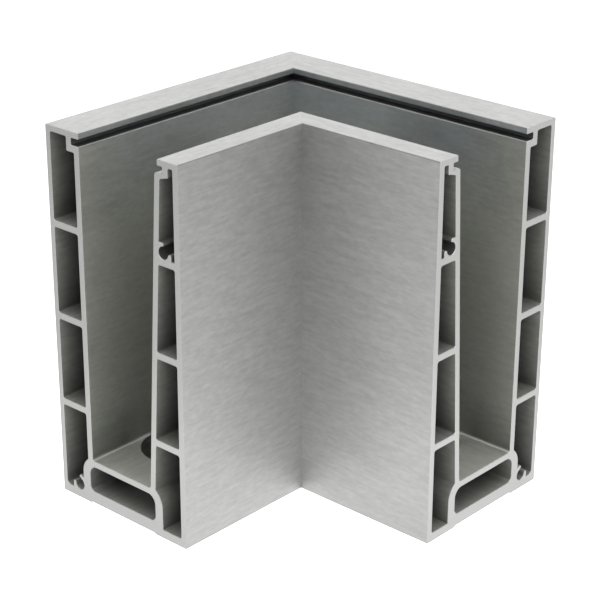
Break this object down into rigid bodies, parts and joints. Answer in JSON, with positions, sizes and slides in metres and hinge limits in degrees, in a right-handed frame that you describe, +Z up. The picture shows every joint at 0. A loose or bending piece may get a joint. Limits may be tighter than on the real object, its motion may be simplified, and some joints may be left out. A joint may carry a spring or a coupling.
{
  "type": "inner corner connector",
  "caption": "Inside corner of an aluminium U-shaped base channel for glass panels: hollow extruded legs mitred at a right angle, with gasket grooves, pin ports and floor anchor holes.",
  "frame": {"origin": "middle of the whole corner's footprint, on the plane that it stands on", "axes": "+Z up out of the channel; +X along the right leg to its cut end; -Y along the left leg to its cut end; the mitre lies in the plane x + y = 0, and the outside corner is towards -X +Y"},
  "size_m": [0.1226, 0.1226, 0.14],
  "materials": {
    "extrusion": "fine brushed along each leg, clear satin, saw-cut ends"
  },
  "bodies": {
    "root": {"left_leg": "extrusion", "right_leg": "extrusion"}
  },
  "joints": []
}
